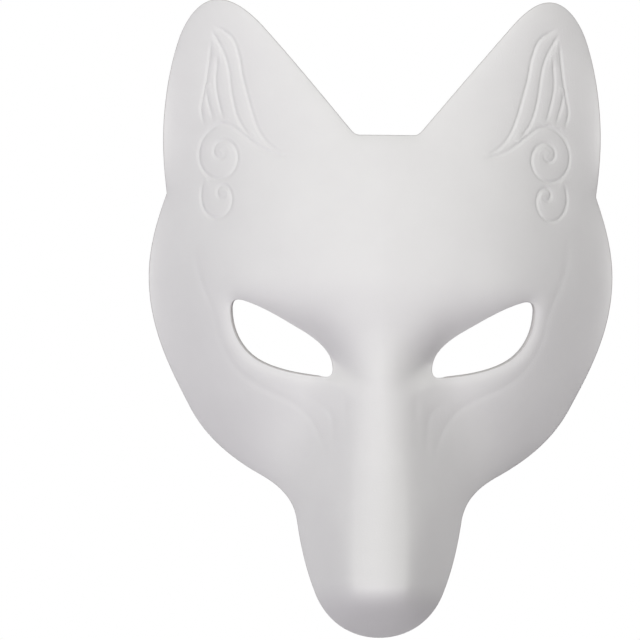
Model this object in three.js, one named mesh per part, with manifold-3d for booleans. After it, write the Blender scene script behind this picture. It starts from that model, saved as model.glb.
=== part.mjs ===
// A fox mask of moulded paper pulp, lying face up. One shell, open underneath.
// X runs across the face, Y from the chin to the ears, Z out of the face. Millimetres.
import * as THREE from "three";
import { mergeVertices } from "three/addons/utils/BufferGeometryUtils.js";
import Module from "manifold-3d";

// Driving sizes.
const HEIGHT = 250.4; // chin to ear tips
const WIDTH = 184.6; // across the cheeks
const DEPTH = 90; // rest plane to the highest point of the nose
const WALL = 1.7; // thickness of the pulp, square to the surface
const RIM_EDGE = 0.8; // height of the outer edge where the rim rests
const EYE_LENGTH = 40.2; // of each eye hole, corner to corner
const EYE_HEIGHT = 30;
const EYE_SPACING = 79; // middle to middle
const EYE_SHIFT = 0.65; // both holes sit this far to the right of the middle
const GROOVE_WIDTH = 2.3; // of the lines pressed into the ears
const GROOVE_DEPTH = 0.65;

// The free form is drawn on a sheet of this size, and stretched to the sizes above.
const SHEET = { height: 250.4, width: 184.6, depth: 90, middle: 1 };
const SCALE = new THREE.Vector3(
  WIDTH / SHEET.width,
  HEIGHT / SHEET.height,
  DEPTH / SHEET.depth,
);

// Heights of the drawn form above the rest plane, and where along Y they hold.
const HEAD = {
  brow: 59,
  notch: 36,
  browY: 10,
  notchY: 104,
  earFall: 4,
  earY: 88,
  earTipY: 126,
  cheekFall: 20,
  browFall: 12,
  browHalf: 30,
  cheekTopY: 17.5,
  cheekLowY: -49,
  jawFall: 7.7,
  jawTopY: -28.7,
  jawLowY: -61,
  flare: 0.46,
  softPower: 4.1,
  softRound: 1.7,
  firmPower: 1.55,
  beyond: 1.25,
};
const TEMPLE = { half: SHEET.width / 2, earShare: 0.944, widestY: 17, earY: 75, drop: 101, leastShare: 0.35 };
const NOSE = {
  root: 57,
  rise: 34,
  sag: 6.3,
  rootY: -21.6,
  tipY: -102.5,
  rootHalf: 8.6,
  tipHalf: 10.2,
  corner: 1.5,
  shoulder: 4.4,
  rootSlope: 0.35,
  tipSlope: 1.1,
  frontSlope: 0.3,
  frontRound: 0.062,
  flankRound: 0.03,
  ridgeEase: 0.2,
  flankEase: 0.57,
  flankWidth: 18,
  buried: 0.7,
  crown: 3.4,
};
const BLEND = { nose: 8, cheek: 3.5, cheekTopY: -5, cheekLowY: -40 };
const SOCKET = {
  lidDepth: 2.2,
  lidReach: 2.6,
  browDepth: 2.4,
  browReach: 3.1,
  cornerDepth: 6.6,
  cornerReach: 4.2,
  cornerX: 20,
  templeX: 56,
  lidFade: 1.4,
  browFade: 1.1,
  cornerFade: 1.35,
  tilt: 0.62,
  lidY: -6,
  browY: 5,
};
const RIM = {
  low: 1.6,
  reach: 3.2,
  nearest: 0.05,
  snoutReach: 5,
  snoutTopY: -60,
  snoutLowY: -85,
  cheekEndY: -62,
  snoutStartY: -78,
  underside: 68,
  undersideFall: 18,
  undersideY: -102,
  undersideEndY: -76,
};

// Spacing of the surface grids, of points along the outline, and of steps along a groove.
const OUTER_GRID = { columns: 44, rows: 56 };
const INNER_GRID = { columns: 24, rows: 30 };
const GRID_MARGIN = 5;
const OUTLINE_STEPS = 6;
const GROOVE_STEP = 3.4;
const GROOVE_SIDES = 8;
const SLOPE_STEP = 0.2;
const MERGE_GAP = 1e-4;

const { clamp, lerp, smoothstep } = THREE.MathUtils;

// The right half of the outline, notch to chin, as Bezier curves on the sheet.
// The notch and the inner edges of the ears sit a little to the right of the middle.
const NOTCH_SHIFT = 1.5;
const START = [0, 72.2];
const HALF_OUTLINE = [
  [[4, 72.2], [7, 72.2], [10.5, 72.2]],
  [[12.4, 72.2], [13.2, 73.2], [14.4, 74.6]],
  [[25.5, 88], [38, 103], [48.9, 115.4]],
  [[54.8, 122], [60.3, 126.2], [66, 126.2]],
  [[72.6, 126.2], [77.6, 119.8], [80.6, 112.4]],
  [[84.6, 101.5], [87.1, 86], [87.1, 72]],
  [[87.1, 63.5], [86.3, 56], [85.4, 49.4]],
  [[88.8, 40], [92.3, 28.5], [92.3, 17]],
  [[92.3, -2.6], [84.6, -18.3], [76.3, -33.8]],
  [[69.7, -47.2], [58.8, -55.8], [47, -61.9]],
  [[38, -66.6], [33.4, -71.5], [32.2, -79.4]],
  [[30.6, -89], [28.8, -97], [24.7, -106.9]],
  [[20.4, -117.1], [11.2, -124.2], [0, -124.2]],
];
const SHIFTED_CURVES = 3;

// The right eye hole, from its lower inner corner round over the top, about its own middle.
const EYE_SHEET = { length: 39.3, height: 28.8, y: -7.6 };
const EYE_START = [-17, -14.4];
const EYE_OUTLINE = [
  [[-19, -14.5], [-19.9, -12.6], [-19.4, -10.1]],
  [[-18.6, -5.2], [-14.4, -1.4], [-8.8, 2.1]],
  [[-1.5, 6.2], [6.5, 11.3], [14.5, 13.7]],
  [[18.2, 15], [19.9, 13.4], [19.8, 9.9]],
  [[19.6, 2.9], [16.3, -4.5], [9, -8.6]],
  [[2.5, -12.2], [-8, -14.1], [-17, -14.4]],
];

// Flame strands pressed into the right ear, top to bottom, on the sheet.
// The left ear mirrors them, and both patterns sit a little to the right.
const ORNAMENT_SHIFT = 0.9;
const STRANDS = [
  [[68.3, 115.9], [61.2, 111], [58, 103.2], [56.3, 94.4], [51.4, 77.5], [46.8, 69.4], [40.6, 64.6]],
  [[68.9, 113.9], [63, 101.7], [60.3, 86], [57.3, 76.6], [51.9, 68.9]],
  [[66.6, 104.1], [67.2, 92.5], [65.2, 82.4], [63.4, 78.2]],
  [[69.1, 109.7], [70.9, 95.2], [72.1, 88.6], [73.1, 82], [71.4, 76]],
  [[71, 91.7], [70.4, 85.7], [67.8, 77.6]],
];
const TAIL = [[38.3, 63.5], [43.2, 64.4], [48.8, 66.8], [53.8, 70.4], [58.7, 74.2], [61.4, 76.6]];
// Scrolls: middle and how far it drifts, first radius, how much taller than wide,
// and where round they start and end.
const BIG_SCROLL = {
  middle: [64.3, 62.7],
  drift: [-0.1, 3.9],
  radius: 12.2,
  stretch: 1.15,
  start: 3,
  end: 632,
  hold: 0.7,
};
const SMALL_SCROLL = {
  middle: [65.5, 45.3],
  drift: [-2.9, 5.6],
  radius: 12.9,
  stretch: 1.33,
  start: 41,
  end: 590,
  hold: 0.4,
};
const SCROLL_TURN = 720;
const SCROLL_POINTS = 18;

const fromSheet = ([x, y]) => new THREE.Vector2(x * SCALE.x, (y - SHEET.middle) * SCALE.y);

// A closed shape from Bezier curves that follow one another.
function closedShape(start, curves) {
  const shape = new THREE.Shape().moveTo(start.x, start.y);
  for (const [first, second, end] of curves) {
    shape.bezierCurveTo(first.x, first.y, second.x, second.y, end.x, end.y);
  }
  return shape;
}

function maskOutline() {
  const shifted = (point, index) => [point[0] + (index < SHIFTED_CURVES ? NOTCH_SHIFT : 0), point[1]];
  const mirrored = ([x, y], index) => shifted([-x, y], index);
  const right = HALF_OUTLINE.map((curve, i) => curve.map((point) => fromSheet(shifted(point, i))));
  const starts = [START, ...HALF_OUTLINE.map((curve) => curve[2])];
  const left = HALF_OUTLINE.map((curve, i) => [
    fromSheet(mirrored(curve[1], i)),
    fromSheet(mirrored(curve[0], i)),
    fromSheet(mirrored(starts[i], i - 1)),
  ]).reverse();
  return closedShape(fromSheet(shifted(START, 0)), [...right, ...left]);
}

function eyeOutline(side, shift) {
  const stretch = new THREE.Vector2(EYE_LENGTH / EYE_SHEET.length, EYE_HEIGHT / EYE_SHEET.height);
  const level = fromSheet([0, EYE_SHEET.y]).y;
  const place = ([x, y]) =>
    new THREE.Vector2(shift + side * (EYE_SPACING / 2 + x * stretch.x), level + y * stretch.y);
  return closedShape(place(EYE_START), EYE_OUTLINE.map((curve) => curve.map(place)));
}

const OUTLINE = maskOutline();
const RIGHT_EYE = eyeOutline(1, 0);
const OUTLINE_POINTS = OUTLINE.getPoints(OUTLINE_STEPS);
const EYE_POINTS = RIGHT_EYE.getPoints(OUTLINE_STEPS);

// The round of the head: a dome whose half width follows the temples and cheeks.
function headHeight(u, v) {
  const up = smoothstep(v, TEMPLE.widestY, TEMPLE.earY);
  const down = (TEMPLE.widestY - v) / TEMPLE.drop;
  const share = Math.sqrt(Math.max(1 - down * down, TEMPLE.leastShare ** 2));
  const half = TEMPLE.half * (v > TEMPLE.widestY ? lerp(1, TEMPLE.earShare, up) : share);
  const cheekFall = lerp(HEAD.browFall, HEAD.cheekFall, smoothstep(Math.abs(u), 0, HEAD.browHalf));
  const crown =
    lerp(HEAD.brow, HEAD.notch, smoothstep(v, HEAD.browY, HEAD.notchY)) -
    HEAD.earFall * clamp((v - HEAD.earY) / (HEAD.earTipY - HEAD.earY), 0, 1) -
    cheekFall * (1 - smoothstep(v, HEAD.cheekLowY, HEAD.cheekTopY)) -
    HEAD.jawFall * (1 - smoothstep(v, HEAD.jawLowY, HEAD.jawTopY));
  const out = Math.min(Math.abs(u) / half, HEAD.beyond);
  const soft = Math.sign(1 - out) * Math.abs(1 - out ** HEAD.softPower) ** HEAD.softRound;
  const firm = 1 - out ** HEAD.firmPower;
  return crown * lerp(firm, soft, HEAD.flare);
}

// The higher of two heights, rounded over where they meet.
function softMax(a, b, round) {
  const share = clamp((1 + (b - a) / round) / 2, 0, 1);
  return lerp(a, b, share) + round * share * (1 - share);
}

// The snout: a crowned bridge that sags on its way up to the nose, and slopes off at its sides and end.
// Its climb eases off at the nose, early on the flanks and late on the ridge.
function snoutHeight(u, v) {
  const run = (NOSE.rootY - v) / (NOSE.rootY - NOSE.tipY);
  const half = lerp(NOSE.rootHalf, NOSE.tipHalf, clamp(run, 0, 1));
  const aside = Math.max(Math.abs(u) - half + NOSE.corner, 0);
  const ahead = Math.max(NOSE.tipY - v + NOSE.corner, 0);
  const out = Math.max(Math.hypot(aside, ahead) - NOSE.corner, 0);
  const ease = lerp(NOSE.ridgeEase, NOSE.flankEase, smoothstep(aside, 0, NOSE.flankWidth));
  const climb = -softMax(-run, -1, ease);
  const along = clamp(climb, 0, 1);
  const front = ahead > 0 ? ahead ** 2 / (aside ** 2 + ahead ** 2) : 0;
  const slope = lerp(lerp(NOSE.rootSlope, NOSE.tipSlope, along), NOSE.frontSlope, front);
  const roundOff = lerp(NOSE.flankRound, NOSE.frontRound, front) * ahead ** 2;
  const fall = slope * (Math.hypot(out, NOSE.shoulder) - NOSE.shoulder) + roundOff;
  const across = Math.abs(u) / half;
  const crown = NOSE.crown * (across < 1 ? across ** 2 : 2 * across - 1);
  const sag = 4 * NOSE.sag * along * (1 - along);
  return NOSE.root + NOSE.rise * Math.max(climb, -NOSE.buried) - sag - fall - crown;
}

function freeHeight(u, v) {
  const low = 1 - smoothstep(v, BLEND.cheekLowY, BLEND.cheekTopY);
  return softMax(headHeight(u, v), snoutHeight(u, v), BLEND.nose + BLEND.cheek * low);
}

function nearest(points, x, y) {
  let best = Infinity;
  for (const point of points) best = Math.min(best, (point.x - x) ** 2 + (point.y - y) ** 2);
  return Math.sqrt(best);
}

function isInside(points, x, y) {
  let inside = false;
  let b = points[points.length - 1];
  for (const a of points) {
    if (a.y > y !== b.y > y && x < ((b.x - a.x) * (y - a.y)) / (b.y - a.y) + a.x) inside = !inside;
    b = a;
  }
  return inside;
}

// How far the surface sinks round an eye hole: deep under the brow, a shallow lip at the lower lid.
function socketDepth(x, y) {
  const across = Math.abs(x - EYE_SHIFT);
  const away = isInside(EYE_POINTS, across, y) ? 0 : nearest(EYE_POINTS, across, y);
  const u = across / SCALE.x;
  const v = y / SCALE.y + SHEET.middle;
  const overAxis = v - EYE_SHEET.y - (u - EYE_SPACING / 2) * SOCKET.tilt;
  const above = smoothstep(overAxis, SOCKET.lidY, SOCKET.browY);
  const corner = 1 - smoothstep(u, SOCKET.cornerX, SOCKET.templeX);
  const browDepth = SOCKET.browDepth + SOCKET.cornerDepth * corner;
  const browReach = SOCKET.browReach + SOCKET.cornerReach * corner;
  const browFade = lerp(SOCKET.browFade, SOCKET.cornerFade, corner);
  const brow = browDepth * Math.exp(-((away / browReach) ** browFade));
  const lid = SOCKET.lidDepth * Math.exp(-((away / SOCKET.lidReach) ** SOCKET.lidFade));
  return lerp(lid, brow, above);
}

// Height that the rim has at a point of the outline: level where it rests, raised elsewhere.
function rimHeight(free, v) {
  const edge = Math.max(RIM_EDGE / SCALE.z, free - RIM.low);
  const snout = 1 - smoothstep(v, RIM.snoutStartY, RIM.cheekEndY);
  const under =
    RIM.underside - RIM.undersideFall * smoothstep(v, RIM.undersideY, RIM.undersideEndY);
  return lerp(edge, Math.min(edge, under), snout);
}

const RIM_PULLS = OUTLINE_POINTS.map(({ x, y }) => {
  const u = x / SCALE.x;
  const v = y / SCALE.y + SHEET.middle;
  const free = freeHeight(u, v);
  return { x, y, pull: rimHeight(free, v) - free };
});

// How far the surface is drawn towards the rim. It fades inside, and runs straight on outside.
function rimPull(x, y, v) {
  let weights = 0;
  let pulls = 0;
  for (const point of RIM_PULLS) {
    const weight = 1 / ((point.x - x) ** 2 + (point.y - y) ** 2 + RIM.nearest) ** 2;
    weights += weight;
    pulls += weight * point.pull;
  }
  const low = 1 - smoothstep(v, RIM.snoutLowY, RIM.snoutTopY);
  const away = nearest(OUTLINE_POINTS, x, y) / (RIM.reach + RIM.snoutReach * low);
  return (pulls / weights) * (isInside(OUTLINE_POINTS, x, y) ? Math.exp(-away) : 1 + away);
}

// The height of the outer face above the rest plane.
function outerHeight(x, y) {
  const u = x / SCALE.x;
  const v = y / SCALE.y + SHEET.middle;
  return SCALE.z * (freeHeight(u, v) - socketDepth(x, y) + rimPull(x, y, v));
}

// The direction square to the outer face, pointing out.
function normalAt(x, y) {
  const alongX = outerHeight(x + SLOPE_STEP, y) - outerHeight(x - SLOPE_STEP, y);
  const alongY = outerHeight(x, y + SLOPE_STEP) - outerHeight(x, y - SLOPE_STEP);
  return new THREE.Vector3(-alongX, -alongY, 2 * SLOPE_STEP).normalize();
}

const innerHeight = (x, y) => outerHeight(x, y) - WALL / normalAt(x, y).z;

// Grid lines close up where the form turns fast: at the snout across, at eyes and nose along.
const GRADE = {
  straight: 0.75,
  eyes: 0.9,
  eyesY: -5,
  eyesSpread: 22,
  nose: 1.2,
  noseY: -112,
  noseSpread: 14,
  samples: 1000,
};

function gridColumns(count) {
  const half = WIDTH / 2 + GRID_MARGIN;
  return Array.from({ length: count + 1 }, (_, i) => {
    const t = (2 * i) / count - 1;
    return half * (GRADE.straight * t + (1 - GRADE.straight) * t ** 3);
  });
}

function gridRows(count) {
  const low = -HEIGHT / 2 - GRID_MARGIN;
  const high = HEIGHT / 2 + GRID_MARGIN;
  const closeness = (y) => {
    const v = y / SCALE.y + SHEET.middle;
    const eyes = GRADE.eyes * Math.exp(-(((v - GRADE.eyesY) / GRADE.eyesSpread) ** 2));
    const nose = GRADE.nose * Math.exp(-(((v - GRADE.noseY) / GRADE.noseSpread) ** 2));
    return 1 + eyes + nose;
  };
  const sums = [0];
  for (let i = 0; i < GRADE.samples; i += 1) {
    sums.push(sums[i] + closeness(lerp(low, high, i / GRADE.samples)));
  }
  return Array.from({ length: count + 1 }, (_, row) => {
    const wanted = (sums[GRADE.samples] * row) / count;
    const at = row === count ? GRADE.samples : sums.findIndex((sum) => sum >= wanted);
    return lerp(low, high, at / GRADE.samples);
  });
}

// A closed block whose top follows a height, and whose flat bottom lies below the rest plane.
function reliefBlock(height, { columns, rows }, bottom) {
  const block = new THREE.BoxGeometry(columns, rows, 1, columns, rows, 1);
  const xs = gridColumns(columns);
  const ys = gridRows(rows);
  const position = block.getAttribute("position");
  for (let i = 0; i < position.count; i += 1) {
    const x = xs[Math.round(position.getX(i) + columns / 2)];
    const y = ys[Math.round(position.getY(i) + rows / 2)];
    const z = position.getZ(i) > 0 ? Math.max(height(x, y), bottom / 2) : bottom;
    position.setXYZ(i, x, y, z);
  }
  return block;
}

const wasm = await Module();
wasm.setup();

function toSolid(geometry) {
  const bare = geometry.clone();
  bare.deleteAttribute("normal");
  bare.deleteAttribute("uv");
  const merged = mergeVertices(bare, MERGE_GAP);
  return new wasm.Manifold(
    new wasm.Mesh({
      numProp: 3,
      vertProperties: merged.getAttribute("position").array,
      triVerts: new Uint32Array(merged.index.array),
    }),
  );
}

function toGeometry(solid) {
  const { numProp, vertProperties, triVerts } = solid.getMesh();
  const geometry = new THREE.BufferGeometry();
  geometry.setAttribute("position", new THREE.BufferAttribute(vertProperties, numProp));
  geometry.setIndex(new THREE.BufferAttribute(triVerts, 1));
  geometry.computeVertexNormals();
  return geometry;
}

// A straight-sided block of a flat shape, from one height to another.
function prism(shape, from, to) {
  const geometry = new THREE.ExtrudeGeometry(shape, {
    depth: to - from,
    bevelEnabled: false,
    curveSegments: OUTLINE_STEPS,
  });
  return toSolid(geometry.translate(0, 0, from));
}

// A spiral that shrinks as it turns, clockwise from the top on the right ear,
// while its middle drifts up to the curl.
function scrollPoints({ middle, drift, radius, stretch, start, end, hold }) {
  return Array.from({ length: SCROLL_POINTS }, (_, i) => {
    const turn = lerp(start, end, i / (SCROLL_POINTS - 1));
    const part = turn / SCROLL_TURN;
    const reach = radius * (1 - part ** hold);
    const angle = THREE.MathUtils.degToRad(turn);
    const x = middle[0] + drift[0] * part + reach * Math.sin(angle);
    const y = middle[1] + drift[1] * part + reach * stretch * Math.cos(angle);
    return [x, y];
  });
}

// A round bar laid along the surface, sunk so far that it leaves a groove of the stated width and depth.
function grooveBar(points, side) {
  const radius = (GROOVE_WIDTH ** 2 / 4 + GROOVE_DEPTH ** 2) / (2 * GROOVE_DEPTH);
  const place = ([x, y]) => fromSheet([ORNAMENT_SHIFT + side * x, y]);
  const flat = new THREE.SplineCurve(points.map(place));
  const steps = Math.ceil(flat.getLength() / GROOVE_STEP);
  const route = flat.getSpacedPoints(steps).map(({ x, y }) => {
    const lift = normalAt(x, y).multiplyScalar(radius - GROOVE_DEPTH);
    return new THREE.Vector3(x, y, outerHeight(x, y)).add(lift);
  });
  const section = new THREE.Shape(
    Array.from({ length: GROOVE_SIDES }, (_, i) => {
      const angle = (2 * Math.PI * i) / GROOVE_SIDES;
      return new THREE.Vector2(radius * Math.cos(angle), radius * Math.sin(angle));
    }),
  );
  return toSolid(
    new THREE.ExtrudeGeometry(section, {
      steps,
      bevelEnabled: false,
      extrudePath: new THREE.CatmullRomCurve3(route),
    }),
  );
}

function buildShell() {
  const bottom = -2 * RIM.underside;
  const above = 2 * DEPTH;
  const outer = toSolid(reliefBlock(outerHeight, OUTER_GRID, bottom));
  const inner = toSolid(reliefBlock(innerHeight, INNER_GRID, 2 * bottom));
  let shell = outer.subtract(inner).intersect(prism(OUTLINE, 0, above));
  const grooves = [...STRANDS, [...TAIL, ...scrollPoints(BIG_SCROLL)], scrollPoints(SMALL_SCROLL)];
  for (const side of [-1, 1]) {
    shell = shell.subtract(prism(eyeOutline(side, EYE_SHIFT), bottom, above));
    for (const points of grooves) shell = shell.subtract(grooveBar(points, side));
  }
  return toGeometry(shell);
}

const pulp = new THREE.MeshStandardMaterial({ color: 0xebeae8, roughness: 0.85, metalness: 0 });
const mask = new THREE.Group();
const shell = new THREE.Mesh(buildShell(), pulp);
shell.name = "mask_shell";
mask.add(shell);

export default mask;
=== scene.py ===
# %% [markdown]
# # A fox mask of moulded paper pulp
#
# The mask is one thin shell of white pulp that lies face up: a long snout that rises out of a
# round forehead, two slanted eye holes, and two tall ears with flame strands and scrolls pressed
# into them. The plain CAD solid has the size and the main shape. Here the same shape is drawn
# again with smooth edges, soft lines and the look of dry pulp.

import math

import bpy
import numpy as np
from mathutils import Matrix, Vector
from mathutils.geometry import delaunay_2d_cdt


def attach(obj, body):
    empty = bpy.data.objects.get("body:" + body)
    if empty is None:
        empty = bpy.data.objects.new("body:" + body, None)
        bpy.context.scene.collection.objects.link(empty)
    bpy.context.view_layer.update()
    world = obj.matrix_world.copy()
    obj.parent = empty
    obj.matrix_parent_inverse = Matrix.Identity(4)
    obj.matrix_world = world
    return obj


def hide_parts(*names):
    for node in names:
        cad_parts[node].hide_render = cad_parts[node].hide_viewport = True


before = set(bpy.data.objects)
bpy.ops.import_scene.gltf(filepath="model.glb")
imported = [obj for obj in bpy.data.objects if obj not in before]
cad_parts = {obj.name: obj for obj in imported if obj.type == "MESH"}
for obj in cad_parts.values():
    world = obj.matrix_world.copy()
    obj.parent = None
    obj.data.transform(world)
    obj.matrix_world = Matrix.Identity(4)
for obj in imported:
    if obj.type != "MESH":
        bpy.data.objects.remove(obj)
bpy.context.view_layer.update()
MM = 0.001

# %% [markdown]
# ## The size of the real mask
#
# All shapes are drawn in millimetres, with X across the face, Y from the chin to the ears and Z
# out of the face. They become metres only when a mesh is made, because Blender counts in metres.

# %% Sizes
SHEET_MIDDLE = 1.0
WALL = 1.7
RIM_EDGE = 0.8
EYE_MIDDLE = np.array([39.5, -8.6])
EYE_AXIS_Y = -7.6
EYE_STRETCH = np.array([40.2 / 39.3, 30 / 28.8])
EYE_SHIFT = 0.65
EDGE_ROUND = 0.38
BACK_ROUND = 0.3


def smooth(value, low, high):
    """Rises softly from 0 at low to 1 at high."""
    share = np.clip((value - low) / (high - low), 0, 1)
    return share * share * (3 - 2 * share)


def blend(a, b, share):
    return a + (b - a) * share


print("wall", WALL, "mm")

# %% [markdown]
# ## The outline of the face
#
# The outline is a chain of Bezier curves, as a maker would draw it with a pen tool: notch, ear,
# temple, cheek, snout and chin. One half is drawn and mirrored. Only the notch between the ears
# sits a little to the right, as on the real mask, so a whole mirror image would be too perfect.

# %% Draw the outline
NOTCH_SHIFT = 1.5
SHIFTED_CURVES = 3
BEZIER_STEPS = 40
OUTLINE_START = (0, 72.2)
OUTLINE_HALF = [
    ((4, 72.2), (7, 72.2), (10.5, 72.2)),
    ((12.4, 72.2), (13.2, 73.2), (14.4, 74.6)),
    ((25.5, 88), (38, 103), (48.9, 115.4)),
    ((54.8, 122), (60.3, 126.2), (66, 126.2)),
    ((72.6, 126.2), (77.6, 119.8), (80.6, 112.4)),
    ((84.6, 101.5), (87.1, 86), (87.1, 72)),
    ((87.1, 63.5), (86.3, 56), (85.4, 49.4)),
    ((88.8, 40), (92.3, 28.5), (92.3, 17)),
    ((92.3, -2.6), (84.6, -18.3), (76.3, -33.8)),
    ((69.7, -47.2), (58.8, -55.8), (47, -61.9)),
    ((38, -66.6), (33.4, -71.5), (32.2, -79.4)),
    ((30.6, -89), (28.8, -97), (24.7, -106.9)),
    ((20.4, -117.1), (11.2, -124.2), (0, -124.2)),
]
EYE_START = (-17, -14.4)
EYE_CURVES = [
    ((-19, -14.5), (-19.9, -12.6), (-19.4, -10.1)),
    ((-18.6, -5.2), (-14.4, -1.4), (-8.8, 2.1)),
    ((-1.5, 6.2), (6.5, 11.3), (14.5, 13.7)),
    ((18.2, 15), (19.9, 13.4), (19.8, 9.9)),
    ((19.6, 2.9), (16.3, -4.5), (9, -8.6)),
    ((2.5, -12.2), (-8, -14.1), (-17, -14.4)),
]


def bezier_chain(start, curves, steps=BEZIER_STEPS):
    """Points along Bezier curves that follow one another."""
    share = np.linspace(0, 1, steps + 1)[1:, None]
    points = [np.array([start], float)]
    for first, second, end in np.array(curves, float):
        a = points[-1][-1]
        rest = 1 - share
        near = a * rest**3 + 3 * first * rest**2 * share
        points.append(near + 3 * second * rest * share**2 + end * share**3)
    return np.concatenate(points)


def even_loop(points, gap):
    """A closed loop with its points the same distance apart, counterclockwise."""
    closed = np.vstack([points, points[:1]])
    length = np.concatenate([[0], np.cumsum(np.linalg.norm(np.diff(closed, axis=0), axis=1))])
    count = int(round(length[-1] / gap))
    at = np.linspace(0, length[-1], count + 1)[:-1]
    loop = np.column_stack([np.interp(at, length, closed[:, i]) for i in range(2)])
    x, y = loop.T
    turns_left = np.sum(x * np.roll(y, -1) - np.roll(x, -1) * y) > 0
    return loop if turns_left else loop[::-1]


def mask_loop(gap):
    half = bezier_chain(OUTLINE_START, OUTLINE_HALF)
    last = BEZIER_STEPS * SHIFTED_CURVES
    shifted = 1 - smooth(np.arange(len(half)), last - 20, last + 60)
    to_right = np.column_stack([NOTCH_SHIFT * shifted, 0 * shifted])
    right = half + to_right
    left = half * [-1, 1] + to_right
    return even_loop(np.vstack([right, left[-2:0:-1]]), gap) - [0, SHEET_MIDDLE]


def right_eye_loop(gap):
    return even_loop(bezier_chain(EYE_START, EYE_CURVES)[:-1] * EYE_STRETCH, gap) + EYE_MIDDLE


def eye_hole(side):
    """An eye hole in its place: both sit a little to the right of the middle."""
    eye = RIGHT_EYE if side > 0 else (RIGHT_EYE * [-1, 1])[::-1]
    return eye + [EYE_SHIFT, 0]


OUTLINE = mask_loop(0.8)
RIGHT_EYE = right_eye_loop(0.5)
print(len(OUTLINE), "points round the mask,", len(RIGHT_EYE), "round each eye")

# %% [markdown]
# ## The round of the head and the snout
#
# The height of the face is a rule: for any X and Y it gives a Z. The head is a dome that falls
# away to the temples and cheeks. The snout is a crowned bridge that sags a little on its way up
# to the nose, where it slopes off at its sides and end. Where they meet, the higher one wins
# with a soft corner, as wet pulp does over a wooden mould.


# %% Heights of the head
WIDEST_Y, WIDEST_HALF = 17, 92.3
EAR_WIDE_Y, EAR_HALF = 75, 87.1
TEMPLE_DROP, LEAST_SHARE = 101, 0.35
BROW_Y, BROW_HEIGHT = 10, 59
NOTCH_Y, NOTCH_HEIGHT = 104, 36
EAR_Y, EAR_LENGTH, EAR_FALL = 88, 38, 4
CHEEK_LOW_Y, CHEEK_TOP_Y, CHEEK_FALL = -49, 17.5, 20
BROW_HALF, BROW_FALL = 30, 12
JAW_LOW_Y, JAW_TOP_Y, JAW_FALL = -61, -28.7, 7.7
FURTHEST_OUT = 1.25
FIRM_POWER, SOFT_POWER, SOFT_ROUND, SOFT_SHARE = 1.55, 4.1, 1.7, 0.46


def head_height(u, v):
    down = (WIDEST_Y - v) / TEMPLE_DROP
    low_half = WIDEST_HALF * np.sqrt(np.maximum(1 - down * down, LEAST_SHARE**2))
    high_half = blend(WIDEST_HALF, EAR_HALF, smooth(v, WIDEST_Y, EAR_WIDE_Y))
    half = np.where(v > WIDEST_Y, high_half, low_half)
    crown = blend(BROW_HEIGHT, NOTCH_HEIGHT, smooth(v, BROW_Y, NOTCH_Y))
    crown = crown - EAR_FALL * np.clip((v - EAR_Y) / EAR_LENGTH, 0, 1)
    cheek_fall = blend(BROW_FALL, CHEEK_FALL, smooth(np.abs(u), 0, BROW_HALF))
    crown = crown - cheek_fall * (1 - smooth(v, CHEEK_LOW_Y, CHEEK_TOP_Y))
    crown = crown - JAW_FALL * (1 - smooth(v, JAW_LOW_Y, JAW_TOP_Y))
    out = np.minimum(np.abs(u) / half, FURTHEST_OUT)
    soft = np.sign(1 - out) * np.abs(1 - out**SOFT_POWER) ** SOFT_ROUND
    firm = 1 - out**FIRM_POWER
    return crown * blend(firm, soft, SOFT_SHARE)


def soft_higher(a, b, round_over):
    """The higher of two heights, with a soft corner where they cross."""
    share = np.clip((1 + (b - a) / round_over) / 2, 0, 1)
    return blend(a, b, share) + round_over * share * (1 - share)


# %% Heights of the snout
ROOT_Y, SNOUT_LENGTH, TIP_Y = -21.6, 80.9, -102.5
ROOT_HEIGHT, RISE, BURIED, SAG = 57, 34, 0.7, 6.3
ROOT_HALF, TIP_HALF, CORNER, SHOULDER = 8.6, 10.2, 1.5, 4.4
ROOT_SLOPE, TIP_SLOPE, FRONT_SLOPE = 0.35, 1.1, 0.3
FLANK_ROUND, FRONT_ROUND = 0.03, 0.062
RIDGE_EASE, MORE_FLANK_EASE, FLANK_WIDTH = 0.2, 0.37, 18
SNOUT_CROWN = 3.4
MEETING_ROUND, MORE_CHEEK_ROUND = 8, 3.5
MEETING_LOW_Y, MEETING_TOP_Y = -40, -5


def snout_height(u, v):
    run = (ROOT_Y - v) / SNOUT_LENGTH
    half = blend(ROOT_HALF, TIP_HALF, np.clip(run, 0, 1))
    aside = np.maximum(np.abs(u) - half + CORNER, 0)
    ahead = np.maximum(TIP_Y - v + CORNER, 0)
    out = np.maximum(np.hypot(aside, ahead) - CORNER, 0)
    ease = RIDGE_EASE + MORE_FLANK_EASE * smooth(aside, 0, FLANK_WIDTH)
    climb = -soft_higher(-run, -1, ease)
    along = np.clip(climb, 0, 1)
    front = ahead**2 / np.maximum(aside**2 + ahead**2, 1e-9)
    slope = blend(blend(ROOT_SLOPE, TIP_SLOPE, along), FRONT_SLOPE, front)
    round_off = blend(FLANK_ROUND, FRONT_ROUND, front) * ahead**2
    fall = slope * (np.hypot(out, SHOULDER) - SHOULDER) + round_off
    across = np.abs(u) / half
    crown = SNOUT_CROWN * np.where(across < 1, across**2, 2 * across - 1)
    sag = 4 * SAG * along * (1 - along)
    return ROOT_HEIGHT + RISE * np.maximum(climb, -BURIED) - sag - fall - crown


def free_height(u, v):
    low = 1 - smooth(v, MEETING_LOW_Y, MEETING_TOP_Y)
    round_over = MEETING_ROUND + MORE_CHEEK_ROUND * low
    return soft_higher(head_height(u, v), snout_height(u, v), round_over)


for spot, spot_y in (("forehead", 20.0), ("nose", -100.0)):
    print(spot, round(float(free_height(0.0, spot_y)), 1), "mm high")

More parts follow.
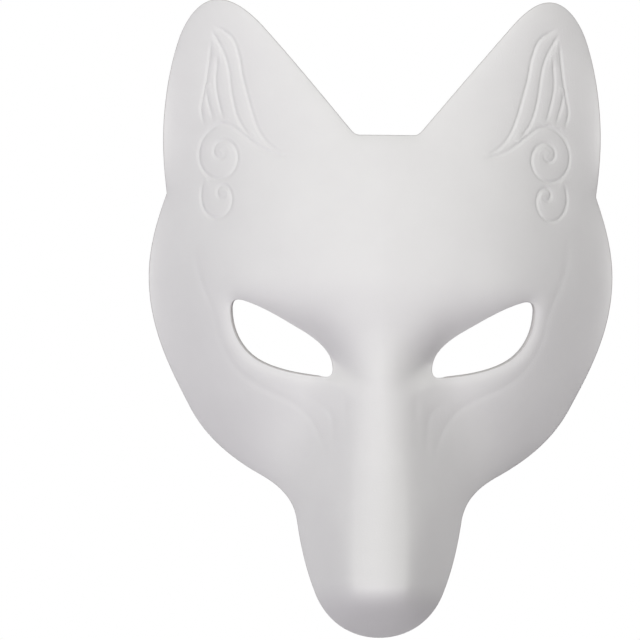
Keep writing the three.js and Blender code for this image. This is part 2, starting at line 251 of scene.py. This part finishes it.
# %% [markdown]
# ## Eye sockets and rim
#
# Round each eye hole the pulp sinks a little: deeply under the brow at the inner corner, and
# only as a shallow lip at the lower lid. At the rim the surface is drawn down to the edge, so
# that the cheeks and ears rest level. Both need the distance to a loop of points.


# %% Distances to a loop
def in_parts(points, work, size=4000):
    """Does the work on some points at a time, to keep the memory small."""
    return np.concatenate([work(points[i : i + size]) for i in range(0, len(points), size)])


def to_nearest(points, loop):
    return in_parts(points, lambda p: np.sqrt(((p[:, None] - loop[None]) ** 2).sum(2).min(1)))


def is_inside(points, loop):
    ax, ay = loop.T
    bx, by = np.roll(loop, 1, axis=0).T

    def work(p):
        x, y = p[:, :1], p[:, 1:]
        spans = (ay > y) != (by > y)
        rise = np.where(by == ay, 1, by - ay)
        crossed = spans & (x < (bx - ax) * (y - ay) / rise + ax)
        return crossed.sum(1) % 2 == 1

    return in_parts(points, work)


# %% Heights near the eyes
SOCKET_TILT, LID_Y, BROW_LINE_Y = 0.62, -6, 5
INNER_X, TEMPLE_X = 20, 56
BROW_DEPTH, MORE_CORNER_DEPTH = 2.4, 7
BROW_REACH, MORE_CORNER_REACH = 3.1, 4.2
BROW_FADE, CORNER_FADE = 1.1, 1.35
LID_DEPTH, LID_REACH, LID_FADE = 2.2, 2.6, 1.4


def socket_depth(points):
    u = np.abs(points[:, 0] - EYE_SHIFT)
    v = points[:, 1] + SHEET_MIDDLE
    folded = np.column_stack([u, points[:, 1]])
    away = np.where(is_inside(folded, RIGHT_EYE), 0, to_nearest(folded, RIGHT_EYE))
    over_axis = v - EYE_AXIS_Y - (u - EYE_MIDDLE[0]) * SOCKET_TILT
    above = smooth(over_axis, LID_Y, BROW_LINE_Y)
    corner = 1 - smooth(u, INNER_X, TEMPLE_X)
    reach = BROW_REACH + MORE_CORNER_REACH * corner
    fade = blend(BROW_FADE, CORNER_FADE, corner)
    brow = (BROW_DEPTH + MORE_CORNER_DEPTH * corner) * np.exp(-((away / reach) ** fade))
    lid = LID_DEPTH * np.exp(-((away / LID_REACH) ** LID_FADE))
    return blend(lid, brow, above)


# %% Heights near the rim
RIM_LOW = 1.6
UNDERSIDE, UNDERSIDE_FALL = 68, 18
UNDERSIDE_LOW_Y, UNDERSIDE_TOP_Y = -102, -76
SNOUT_RIM_Y, CHEEK_RIM_Y = -78, -62
RIM_REACH, MORE_SNOUT_REACH = 3.2, 5
REACH_LOW_Y, REACH_TOP_Y = -85, -60
NEAREST = 0.05


def rim_height(free, v):
    edge = np.maximum(RIM_EDGE, free - RIM_LOW)
    under = UNDERSIDE - UNDERSIDE_FALL * smooth(v, UNDERSIDE_LOW_Y, UNDERSIDE_TOP_Y)
    return blend(edge, np.minimum(edge, under), 1 - smooth(v, SNOUT_RIM_Y, CHEEK_RIM_Y))


RIM_LOOP = OUTLINE[::2]
RIM_V = RIM_LOOP[:, 1] + SHEET_MIDDLE
RIM_FREE = free_height(RIM_LOOP[:, 0], RIM_V)
RIM_PULL = rim_height(RIM_FREE, RIM_V) - RIM_FREE


def rim_pull(points):
    def work(p):
        weight = 1 / (((p[:, None] - RIM_LOOP[None]) ** 2).sum(2) + NEAREST) ** 2
        return (weight * RIM_PULL).sum(1) / weight.sum(1)

    v = points[:, 1] + SHEET_MIDDLE
    reach = RIM_REACH + MORE_SNOUT_REACH * (1 - smooth(v, REACH_LOW_Y, REACH_TOP_Y))
    away = to_nearest(points, OUTLINE) / reach
    return in_parts(points, work) * np.where(is_inside(points, OUTLINE), np.exp(-away), 1 + away)


def face_height(points):
    """The height of the face over some points, in mm."""
    free = free_height(points[:, 0], points[:, 1] + SHEET_MIDDLE)
    return free - socket_depth(points) + rim_pull(points)


def face_normal(points, step=0.2):
    """The direction square to the face at some points."""
    right, up = np.array([step, 0]), np.array([0, step])
    along_x = face_height(points + right) - face_height(points - right)
    along_y = face_height(points + up) - face_height(points - up)
    normal = np.column_stack([-along_x, -along_y, np.full(len(points), 2 * step)])
    return normal / np.linalg.norm(normal, axis=1)[:, None]


rim = RIM_FREE + RIM_PULL
print("rim from", round(float(rim.min()), 1), "to", round(float(rim.max()), 1), "mm high")

# %% [markdown]
# ## Lines pressed into the ears
#
# Each ear has five flame strands, and a sixth that runs into a big scroll with a small one
# below. They are drawn as curves on the face. The strands go through listed points. The
# scrolls follow a rule: one turn after another with a shrinking radius. The same curves tell
# the mesh where it needs small triangles.

# %% Draw the strands and scrolls
ORNAMENT_SHIFT = 0.9
FIRST_STRAND = [(68.3, 115.9), (61.2, 111), (58, 103.2), (56.3, 94.4), (51.4, 77.5)]
STRANDS = [
    [*FIRST_STRAND, (46.8, 69.4), (40.6, 64.6)],
    [(68.9, 113.9), (63, 101.7), (60.3, 86), (57.5, 77.3), (52.9, 70.9)],
    [(66.6, 104.1), (67.2, 92.5), (65.2, 82.4), (63.4, 78.2)],
    [(69.1, 109.7), (70.9, 95.2), (72.1, 88.6), (73.1, 82), (71.4, 76)],
    [(71, 91.7), (70.4, 85.7), (67.8, 77.6)],
]
TAIL = [(38.3, 63.5), (43.2, 64.4), (48.8, 66.8), (53.8, 70.4), (58.3, 74.1), (61.2, 75.9)]
BIG_SCROLL = dict(
    middle=(64.3, 62.7), drift=(-0.1, 3.9), radius=12.2, stretch=1.15, turns=(3, 632), hold=0.7
)
SMALL_SCROLL = dict(
    middle=(65.5, 45.3), drift=(-2.9, 5.6), radius=12.9, stretch=1.33, turns=(41, 590), hold=0.4
)
SCROLL_TURN = 720


def scroll(middle, drift, radius, stretch, turns, hold, count=40):
    """A spiral that shrinks as it turns, while its middle drifts up to the curl."""
    turn = np.linspace(*turns, count)
    part = turn / SCROLL_TURN
    reach = radius * (1 - part**hold)
    angle = np.radians(turn)
    x = middle[0] + drift[0] * part + reach * np.sin(angle)
    y = middle[1] + drift[1] * part + reach * stretch * np.cos(angle)
    return list(zip(x, y))


def through(points, gap=0.5):
    """A smooth curve through points, as a Catmull-Rom spline with even steps."""
    p = np.array(points, float)
    p = np.vstack([2 * p[0] - p[1], p, 2 * p[-1] - p[-2]])
    share = np.linspace(0, 1, 24, endpoint=False)[:, None]
    parts = []
    for a, b, c, d in zip(p, p[1:], p[2:], p[3:]):
        bend = 2 * a - 5 * b + 4 * c - d
        twist = 3 * b - a - 3 * c + d
        parts.append((2 * b + (c - a) * share + bend * share**2 + twist * share**3) / 2)
    line = np.vstack(parts + [p[-2:-1]])
    length = np.concatenate([[0], np.cumsum(np.linalg.norm(np.diff(line, axis=0), axis=1))])
    at = np.linspace(0, length[-1], int(length[-1] / gap) + 1)
    return np.column_stack([np.interp(at, length, line[:, i]) for i in range(2)])


def both_sides(lines, shift=0):
    """Moves lines from the drawing sheet to the mask, mirrors each, and shifts all to the right."""
    placed = [through(line) - [0, SHEET_MIDDLE] for line in lines]
    return [line * [side, 1] + [shift, 0] for side in (1, -1) for line in placed]


ear_pattern = [*STRANDS, [*TAIL, *scroll(**BIG_SCROLL)], scroll(**SMALL_SCROLL)]
EAR_LINES = both_sides(ear_pattern, ORNAMENT_SHIFT)
print(len(EAR_LINES), "lines in the ears,", sum(len(line) for line in EAR_LINES), "points")

# %% [markdown]
# ## Faint creases of the face
#
# Two shallow folds run from each temple under the eye and down the side of the snout, and a
# third beside the bridge. They are wider and far shallower than the lines in the ears.

# %% Draw the creases
CHEEK_FOLD = [(73.6, 31.9), (73.6, 26), (72.3, 18.2), (69.6, 10.6), (66.9, 4.4)]
CHEEK_FOLD += [(65.2, -1.7), (63.8, -7.8), (60.7, -14.4), (56.9, -19.9), (52.2, -23.9)]
CHEEK_FOLD += [(46.4, -27.5), (38.6, -31.1), (32.8, -34.3)]
CHEEK_FOLD += [(27.7, -39), (24.3, -44.9), (22, -50.8), (20.9, -56.7)]
SNOUT_FOLD = [(28.8, -30.4), (23, -34), (19.1, -39.1), (18.1, -54.8)]
BRIDGE_FOLD = [(14.3, -25.5), (14, -35.3), (13.3, -45)]
CREASES = both_sides([CHEEK_FOLD, SNOUT_FOLD, BRIDGE_FOLD])
print(len(CREASES), "creases")

# %% [markdown]
# ## A mesh of even triangles
#
# A plain grid would leave a ragged edge, so the face is filled with points in a honeycomb
# pattern inside the outline and joined by a Delaunay triangulation, which makes triangles as
# even as they can be. Points lie close together near the lines in the ears and wide apart
# elsewhere, so the mesh is fine only where it has to be.


# %% Fill a shape with triangles
FIELD_X, FIELD_Y = 95, 128
WIDE_GAP, CLOSE_GAP, BACK_GAP = 1.0, 0.4, 2.1
CLOSE_REACH, WIDE_FROM = 2.4, 2.6
FRONT_CLEAR, BACK_CLEAR = 0.45, 0.8


def honeycomb(gap):
    xs = np.arange(-FIELD_X, FIELD_X, gap)
    ys = np.arange(-FIELD_Y, FIELD_Y, gap * math.sqrt(3) / 2)
    grid = np.array(np.meshgrid(xs, ys)).reshape(2, -1).T
    rows = np.repeat(np.arange(len(ys)), len(xs))
    grid[:, 0] += gap / 2 * (rows % 2)
    return grid


def fill(loops, points):
    """Triangles between an outer loop and two holes. The loops' points come first."""
    edges = []
    start = 0
    for loop in loops:
        count = len(loop)
        edges += [(start + i, start + (i + 1) % count) for i in range(count)]
        start += count
    flat = np.vstack([*loops, points])
    made = delaunay_2d_cdt([Vector(p) for p in flat.tolist()], edges, [], 0, 1e-7, False)
    where, triangles = np.array([tuple(p) for p in made[0]]), np.array(made[2])
    middle = where[triangles].mean(1)
    wanted = is_inside(middle, loops[0])
    for hole in loops[1:]:
        wanted &= ~is_inside(middle, hole)
    a, b, c = (where[triangles[:, i]] for i in range(3))
    area = (b[:, 0] - a[:, 0]) * (c[:, 1] - a[:, 1]) - (b[:, 1] - a[:, 1]) * (c[:, 0] - a[:, 0])
    triangles[area < 0] = triangles[area < 0][:, ::-1]
    return where, triangles[wanted]


def between(points, loops, clear):
    """The points that lie inside the outer loop and outside the holes, clear of all edges."""
    keep = is_inside(points, loops[0]) & (to_nearest(points, loops[0]) > clear)
    for hole in loops[1:]:
        keep &= ~is_inside(points, hole) & (to_nearest(points, hole) > clear)
    return points[keep]


print("honeycomb of", len(honeycomb(WIDE_GAP)), "points before trimming")

# %% [markdown]
# ## The edge of the pulp
#
# The real shell is 1.7 mm thick. Its rim is trimmed straight down, and the eye holes are cut
# square to the surface, so from above their walls show on the outer and lower sides. Each edge
# is a strip of a few rows: a small round, the wall, and a small round at the back.


# %% Rows of an edge
def edge_frame(loop, to_hole):
    """Where the edge lies on the face, the way into the pulp, and the face's normal."""
    ahead = np.roll(loop, -1, axis=0) - np.roll(loop, 1, axis=0)
    ahead /= np.linalg.norm(ahead, axis=1)[:, None]
    inward = np.column_stack([-ahead[:, 1], ahead[:, 0]]) * (-1 if to_hole else 1)
    normal = face_normal(loop)
    slope = -(normal[:, :2] * inward).sum(1) / normal[:, 2]
    into = np.column_stack([inward, slope])
    top = np.column_stack([loop, face_height(loop)])
    return top, into / np.linalg.norm(into, axis=1)[:, None], normal


def edge_rows(loop, to_hole):
    """Rows of points from the face, round the edge, to the back."""
    top, into, normal = edge_frame(loop, to_hole)
    if to_hole:
        bottom = top - WALL * normal
    else:
        back = np.maximum(top[:, 2] - WALL / normal[:, 2], 0)
        bottom = np.column_stack([top[:, :2], back])
    down = bottom - top
    thickness = np.linalg.norm(down, axis=1)[:, None]
    down /= thickness
    rows = []
    for angle in np.radians([0, 22.5, 45, 67.5, 90]):
        turned = into * (1 - math.sin(angle)) + down * (1 - math.cos(angle))
        rows.append(top + EDGE_ROUND * turned)
    flat = into * np.where(bottom[:, 2:] < 0.01, [1, 1, 0], 1)
    flat /= np.linalg.norm(flat, axis=1)[:, None]
    for angle in np.radians([90, 45, 0]):
        turned = flat * (1 - math.sin(angle)) - down * (1 - math.cos(angle))
        rows.append(bottom + BACK_ROUND * turned)
    return rows


EDGES = [edge_rows(OUTLINE, False), edge_rows(eye_hole(1), True), edge_rows(eye_hole(-1), True)]
print(len(EDGES[0]), "rows round each edge")

# %% Front, back and edges as one mesh
front_loops = [rows[0][:, :2] for rows in EDGES]
back_loops = [rows[-1][:, :2] for rows in EDGES]
line_points = np.vstack(EAR_LINES)[::2]
wide, close = honeycomb(WIDE_GAP), honeycomb(CLOSE_GAP)
wide = wide[to_nearest(wide, line_points) > WIDE_FROM]
close = close[to_nearest(close, line_points) < CLOSE_REACH]
front_points = between(np.vstack([wide, close]), front_loops, FRONT_CLEAR)
back_points = between(honeycomb(BACK_GAP), back_loops, BACK_CLEAR)
front_flat, front_faces = fill(front_loops, front_points)
back_flat, back_faces = fill(back_loops, back_points)
front = np.column_stack([front_flat, face_height(front_flat)])
back_depth = face_height(back_flat) - WALL / face_normal(back_flat)[:, 2]
back = np.column_stack([back_flat, np.maximum(back_depth, 0)])
loop_end = sum(len(loop) for loop in front_loops)
front[:loop_end] = np.vstack([rows[0] for rows in EDGES])
back[:loop_end] = np.vstack([rows[-1] for rows in EDGES])
print("front", len(front_faces), "triangles, back", len(back_faces))


# %% Sew the edge strips in
def strip_faces(above, below):
    """Triangles between two rows of points, given by their numbers."""
    a, b = above, np.roll(above, -1)
    c, d = below, np.roll(below, -1)
    return np.vstack([np.column_stack([a, c, b]), np.column_stack([b, c, d])])


def sew(front, front_faces, back, back_faces):
    points = [front]
    faces = [front_faces, back_faces[:, ::-1] + len(front)]
    edge_share = [np.zeros(len(front)), np.zeros(len(back))]
    points.append(back)
    next_free = len(front) + len(back)
    start = 0
    for number, rows in enumerate(EDGES):
        count = len(rows[0])
        row_numbers = [np.arange(start, start + count)]
        for row in rows[1:-1]:
            row_numbers.append(np.arange(next_free, next_free + count))
            points.append(row)
            edge_share.append(np.ones(count))
            next_free += count
        row_numbers.append(np.arange(start, start + count) + len(front))
        for above, below in zip(row_numbers, row_numbers[1:]):
            strip = strip_faces(above, below)
            faces.append(strip if number == 0 else strip[:, ::-1])
        start += count
    return np.vstack(points), np.vstack(faces), np.concatenate(edge_share)


shell_points, shell_faces, cut_edge = sew(front, front_faces, back, back_faces)
on_front = np.zeros(len(shell_points))
on_front[: len(front)] = 1
mesh = bpy.data.meshes.new("pulp_shell")
mesh.from_pydata((shell_points * MM).tolist(), [], shell_faces.tolist())
for name, values in (("on_front", on_front), ("cut_edge", cut_edge)):
    mesh.attributes.new(name, "FLOAT", "POINT").data.foreach_set("value", values.astype(np.float32))
mesh.shade_smooth()
mask = bpy.data.objects.new("pulp_mask", mesh)
bpy.context.collection.objects.link(mask)
print("shell of", len(shell_faces), "triangles")

# %% [markdown]
# ## Lines become curve objects
#
# Geometry Nodes can read another object, so the lines are stored as curve objects that lie on
# the face. Each point's radius says how strongly it is pressed: it fades towards both ends,
# where a maker's tool lifts off.


# %% Curves on the face
def curve_object(name, lines, fade):
    curve = bpy.data.curves.new(name, "CURVE")
    curve.dimensions = "3D"
    for line in lines:
        heights = face_height(line)
        spline = curve.splines.new("POLY")
        spline.points.add(len(line) - 1)
        spot = np.column_stack([line, heights]) * MM
        spline.points.foreach_set("co", np.column_stack([spot, np.ones(len(line))]).ravel())
        step = np.linalg.norm(np.diff(line, axis=0), axis=1).mean()
        from_end = np.minimum(np.arange(len(line)), np.arange(len(line))[::-1]) * step
        spline.points.foreach_set("radius", smooth(from_end, -0.2 * fade, fade).astype(np.float32))
    made = bpy.data.objects.new(name, curve)
    bpy.context.collection.objects.link(made)
    return made


ear_lines = curve_object("ear_lines", EAR_LINES, fade=5)
creases = curve_object("creases", CREASES, fade=14)
print("curves hold", sum(len(s.points) for s in ear_lines.data.splines), "points")

# %% [markdown]
# ## Press the lines with Geometry Nodes
#
# A node tree measures how far each point of the mesh is from the nearest line, and moves it
# down along its normal. The groove is a narrow valley, and the pulp beside it bends down towards
# it, so that the bands between two lines look padded. The tree has inputs for its sizes, so the
# same tree makes sharp strands and faint creases.


# %% The pressing tree
def link_chain(tree, pairs):
    for output, socket in pairs:
        tree.links.new(output, socket)


def maths(tree, operation, first, second):
    node = tree.nodes.new("ShaderNodeMath")
    node.operation = operation
    for socket, value in zip(node.inputs, (first, second)):
        if isinstance(value, (int, float)):
            socket.default_value = value
        else:
            tree.links.new(value, socket)
    return node.outputs[0]


def soft_range(tree, value, low, high):
    node = tree.nodes.new("ShaderNodeMapRange")
    node.interpolation_type = "SMOOTHSTEP"
    tree.links.new(value, node.inputs["Value"])
    for socket, given in ((node.inputs["From Min"], low), (node.inputs["From Max"], high)):
        if isinstance(given, (int, float)):
            socket.default_value = given
        else:
            tree.links.new(given, socket)
    return node.outputs["Result"]


def pressing_tree():
    tree = bpy.data.node_groups.new("Press lines", "GeometryNodeTree")
    face = tree.interface
    face.new_socket("Geometry", in_out="INPUT", socket_type="NodeSocketGeometry")
    face.new_socket("Lines", in_out="INPUT", socket_type="NodeSocketObject")
    for name in ("Half width", "Depth", "Bend", "Bend reach"):
        face.new_socket(name, in_out="INPUT", socket_type="NodeSocketFloat").subtype = "DISTANCE"
    face.new_socket("Material", in_out="INPUT", socket_type="NodeSocketMaterial")
    face.new_socket("Geometry", in_out="OUTPUT", socket_type="NodeSocketGeometry")
    new = tree.nodes.new
    given = new("NodeGroupInput").outputs
    lines = new("GeometryNodeObjectInfo")
    evened = new("GeometryNodeResampleCurve")
    evened.mode = "LENGTH"
    evened.inputs["Length"].default_value = 0.3 * MM
    wire = new("GeometryNodeCurveToMesh")
    dots = new("GeometryNodeCurveToPoints")
    dots.mode = "EVALUATED"
    reach = new("GeometryNodeProximity")
    reach.target_element = "EDGES"
    near = new("GeometryNodeSampleNearest")
    strength = new("GeometryNodeSampleIndex")
    radius = new("GeometryNodeInputRadius")
    front_share = new("GeometryNodeInputNamedAttribute")
    front_share.inputs["Name"].default_value = "on_front"
    normal = new("GeometryNodeInputNormal")
    scaled = new("ShaderNodeVectorMath")
    scaled.operation = "SCALE"
    moved = new("GeometryNodeSetPosition")
    realized = new("GeometryNodeRealizeInstances")
    finish = new("GeometryNodeSetMaterial")
    result = new("NodeGroupOutput")
    link_chain(
        tree,
        [
            (given["Lines"], lines.inputs["Object"]),
            (lines.outputs["Geometry"], evened.inputs["Curve"]),
            (evened.outputs["Curve"], wire.inputs["Curve"]),
            (evened.outputs["Curve"], dots.inputs["Curve"]),
            (wire.outputs["Mesh"], reach.inputs[0]),
            (dots.outputs["Points"], near.inputs["Geometry"]),
            (dots.outputs["Points"], strength.inputs["Geometry"]),
            (radius.outputs["Radius"], strength.inputs["Value"]),
            (near.outputs["Index"], strength.inputs["Index"]),
        ],
    )
    away = reach.outputs["Distance"]
    valley = soft_range(tree, away, 0.0, given["Half width"])
    sunk = maths(tree, "MULTIPLY", maths(tree, "SUBTRACT", valley, 1.0), given["Depth"])
    share = maths(tree, "DIVIDE", away, given["Bend reach"])
    bent = maths(tree, "EXPONENT", maths(tree, "MULTIPLY", share, -1.0), 0.0)
    bent = maths(tree, "MULTIPLY", bent, given["Bend"])
    lift = maths(tree, "SUBTRACT", sunk, bent)
    lift = maths(tree, "MULTIPLY", lift, strength.outputs["Value"])
    lift = maths(tree, "MULTIPLY", lift, front_share.outputs["Attribute"])
    link_chain(
        tree,
        [
            (normal.outputs["Normal"], scaled.inputs[0]),
            (lift, scaled.inputs["Scale"]),
            (given["Geometry"], moved.inputs["Geometry"]),
            (scaled.outputs["Vector"], moved.inputs["Offset"]),
            (moved.outputs["Geometry"], realized.inputs["Geometry"]),
            (realized.outputs["Geometry"], finish.inputs["Geometry"]),
            (given["Material"], finish.inputs["Material"]),
            (finish.outputs["Geometry"], result.inputs["Geometry"]),
        ],
    )
    return tree


press_lines = pressing_tree()
print("tree", press_lines.name, "has", len(press_lines.nodes), "nodes")

# %% [markdown]
# ## Dry paper pulp
#
# Moulded pulp is matte and nearly white. Up close it has a fine tooth, a few longer fibres and
# a faint cloudiness where it dried unevenly. The cut walls of the rim and eye holes get painted
# shade: a dark brownish colour that draws them as a thin dark line. The grain is a node group
# with named inputs, so that its tooth and its fibres can be set apart.


# %% Grain of the pulp
def add_noise(tree, place, scale, detail, roughness):
    node = tree.nodes.new("ShaderNodeTexNoise")
    node.inputs["Scale"].default_value = scale
    node.inputs["Detail"].default_value = detail
    node.inputs["Roughness"].default_value = roughness
    tree.links.new(place, node.inputs["Vector"])
    return node.outputs["Fac"]


def pulp_grain():
    tree = bpy.data.node_groups.new("Pulp grain", "ShaderNodeTree")
    face = tree.interface
    face.new_socket("Place", in_out="INPUT", socket_type="NodeSocketVector")
    face.new_socket("Tooth", in_out="INPUT", socket_type="NodeSocketFloat")
    face.new_socket("Fibres", in_out="INPUT", socket_type="NodeSocketFloat")
    face.new_socket("Height", in_out="OUTPUT", socket_type="NodeSocketFloat")
    face.new_socket("Clouds", in_out="OUTPUT", socket_type="NodeSocketFloat")
    given = tree.nodes.new("NodeGroupInput").outputs
    result = tree.nodes.new("NodeGroupOutput")
    tooth = maths(tree, "MULTIPLY", add_noise(tree, given["Place"], 1500, 3, 0.6), given["Tooth"])
    long_way = tree.nodes.new("ShaderNodeMapping")
    long_way.inputs["Rotation"].default_value = (0, 0, 0.7)
    long_way.inputs["Scale"].default_value = (1, 0.22, 1)
    tree.links.new(given["Place"], long_way.inputs["Vector"])
    strands = add_noise(tree, long_way.outputs["Vector"], 900, 2, 0.5)
    fibres = maths(tree, "MULTIPLY", soft_range(tree, strands, 0.55, 0.75), given["Fibres"])
    tree.links.new(maths(tree, "ADD", tooth, fibres), result.inputs["Height"])
    tree.links.new(add_noise(tree, given["Place"], 45, 4, 0.55), result.inputs["Clouds"])
    return tree


grain_group = pulp_grain()
print("grain group has", len(grain_group.nodes), "nodes")


# %% Material of the mask
def pulp_material():
    material = bpy.data.materials.new("dry_pulp")
    material.use_nodes = True
    tree = material.node_tree
    paper = tree.nodes["Principled BSDF"]
    paper.inputs["Roughness"].default_value = 0.82
    paper.inputs["Specular IOR Level"].default_value = 0.25
    place = tree.nodes.new("ShaderNodeTexCoord").outputs["Object"]
    grain = tree.nodes.new("ShaderNodeGroup")
    grain.node_tree = grain_group
    grain.inputs["Tooth"].default_value = 0.06
    grain.inputs["Fibres"].default_value = 0.02
    tree.links.new(place, grain.inputs["Place"])
    tone = tree.nodes.new("ShaderNodeMix")
    tone.data_type = "RGBA"
    tone.inputs["A"].default_value = (0.805, 0.79, 0.80, 1)
    tone.inputs["B"].default_value = (0.86, 0.85, 0.855, 1)
    tree.links.new(grain.outputs["Clouds"], tone.inputs["Factor"])
    # Painted shade: the cut walls of the rim and eye holes are darkened towards dark brown,
    # standing in for the shadow on them.
    edge = tree.nodes.new("ShaderNodeAttribute")
    edge.attribute_name = "cut_edge"
    painted_edge_shade = tree.nodes.new("ShaderNodeMix")
    painted_edge_shade.data_type = "RGBA"
    painted_edge_shade.inputs["B"].default_value = (0.27, 0.24, 0.23, 1)
    tree.links.new(maths(tree, "MULTIPLY", edge.outputs["Fac"], 0.4), painted_edge_shade.inputs["Factor"])
    tree.links.new(tone.outputs["Result"], painted_edge_shade.inputs["A"])
    tree.links.new(painted_edge_shade.outputs["Result"], paper.inputs["Base Color"])
    bump = tree.nodes.new("ShaderNodeBump")
    bump.inputs["Distance"].default_value = MM
    bump.inputs["Strength"].default_value = 0.6
    tree.links.new(grain.outputs["Height"], bump.inputs["Height"])
    tree.links.new(bump.outputs["Normal"], paper.inputs["Normal"])
    return material


dry_pulp = pulp_material()
print("material", dry_pulp.name)

# %% [markdown]
# ## Run the tree on the mask
#
# The modifier's inputs are set by their identifiers before the object is first evaluated. Then
# the result becomes a plain mesh, and the modifier and the curves are removed.


# %% Press and keep the result
def press(target, lines, half_width, depth, bend, bend_reach):
    modifier = target.modifiers.new("Press lines", "NODES")
    modifier.node_group = press_lines
    inputs = [s for s in press_lines.interface.items_tree if s.in_out == "INPUT"]
    sockets = {s.name: s.identifier for s in inputs}
    modifier[sockets["Lines"]] = lines
    modifier[sockets["Half width"]] = half_width * MM
    modifier[sockets["Depth"]] = depth * MM
    modifier[sockets["Bend"]] = bend * MM
    modifier[sockets["Bend reach"]] = bend_reach * MM
    modifier[sockets["Material"]] = dry_pulp


press(mask, creases, half_width=2.3, depth=0.14, bend=0.07, bend_reach=3.5)
press(mask, ear_lines, half_width=1.15, depth=0.26, bend=0.36, bend_reach=2.2)
evaluated = mask.evaluated_get(bpy.context.evaluated_depsgraph_get())
pressed = bpy.data.meshes.new_from_object(evaluated)
mask.modifiers.clear()
mask.data = pressed
for lines in (ear_lines, creases):
    bpy.data.objects.remove(lines)
print("pressed mesh:", len(pressed.vertices), "points,", len(pressed.polygons), "triangles")

# %% Put the mask in the frame
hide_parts("mask_shell")
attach(mask, "root")
print("mask rides on root")

# %% [markdown]
# ## Floor, light and camera
#
# The floor is plain and pale, and looks evenly white to the camera, as in a product picture.
# Two soft boxes stand close above the ears, so the light fades towards the chin. Larger ones far
# away fill in from both sides and from below. The lowest ones are a little cooler.

# %% Floor
floor_mesh = bpy.data.meshes.new("floor")
floor_mesh.from_pydata([(-4, -4, 0), (4, -4, 0), (4, 4, 0), (-4, 4, 0)], [], [(0, 1, 2, 3)])
floor = bpy.data.objects.new("floor", floor_mesh)
bpy.context.collection.objects.link(floor)
floor_paint = bpy.data.materials.new("floor_paint")
floor_paint.use_nodes = True
floor_tree = floor_paint.node_tree
floor_base = floor_tree.nodes["Principled BSDF"]
floor_base.inputs["Base Color"].default_value = (0.8, 0.8, 0.8, 1)
floor_base.inputs["Roughness"].default_value = 0.9
floor_glow = floor_tree.nodes.new("ShaderNodeEmission")
floor_glow.inputs["Color"].default_value = (1, 1, 1, 1)
floor_mix = floor_tree.nodes.new("ShaderNodeMixShader")
floor_path = floor_tree.nodes.new("ShaderNodeLightPath")
floor_tree.links.new(floor_path.outputs["Is Camera Ray"], floor_mix.inputs[0])
floor_tree.links.new(floor_base.outputs[0], floor_mix.inputs[1])
floor_tree.links.new(floor_glow.outputs[0], floor_mix.inputs[2])
floor_tree.links.new(floor_mix.outputs[0], floor_tree.nodes["Material Output"].inputs["Surface"])
floor_mesh.materials.append(floor_paint)
print("floor 8 m wide")


# %% Lights
def soft_light(name, azimuth, elevation, away, size, power, colour):
    """A round soft box aimed at the mask. Azimuth 0 is its right side, 90 its ears."""
    lamp = bpy.data.lights.new(name, "AREA")
    lamp.shape = "DISK"
    lamp.size = size
    lamp.energy = power
    lamp.color = colour
    turn, rise = math.radians(azimuth), math.radians(elevation)
    level = math.cos(rise)
    towards = Vector((math.cos(turn) * level, math.sin(turn) * level, math.sin(rise)))
    made = bpy.data.objects.new(name, lamp)
    made.location = away * towards
    made.rotation_euler = (-towards).to_track_quat("-Z", "Y").to_euler()
    bpy.context.collection.objects.link(made)


soft_light("key", 90, 66.8, 1.14, 0.5, 5.0, (0.986, 1, 0.961))
soft_light("upper", 90, 48.4, 1.2, 0.6, 2.5, (0.984, 1, 0.938))
soft_light("high_left", 180, 66, 6, 3, 57, (0.993, 1, 0.996))
soft_light("high_low", 270, 66, 6, 3, 50, (1, 0.985, 0.987))
soft_light("low", 270, 38, 6, 3, 30, (1, 0.956, 0.989))
soft_light("low_left", 225, 38, 6, 3, 35, (0.956, 0.913, 1))
soft_light("left", 180, 38, 6, 3, 17.5, (0.825, 0.763, 1))
soft_light("right", 0, 38, 6, 3, 19.5, (0.972, 0.879, 1))
world = bpy.data.worlds.new("studio")
bpy.context.scene.world = world
world.use_nodes = True
sky = world.node_tree.nodes["Background"]
sky.inputs["Color"].default_value = (0.98, 0.95, 1, 1)
sky.inputs["Strength"].default_value = 0.01
print("eight soft lights")

# %% Camera
lens = bpy.data.cameras.new("camera")
lens.sensor_width = 36
lens.lens = 339
camera = bpy.data.objects.new("camera", lens)
camera.location = (-23.95 * MM, -1.5 * MM, 2.4)
camera.rotation_euler = (0, 0, math.radians(0.55))
bpy.context.collection.objects.link(camera)
bpy.context.scene.camera = camera
bpy.context.scene.view_settings.view_transform = "Standard"
print("camera", round(camera.location.z, 2), "m above the floor")
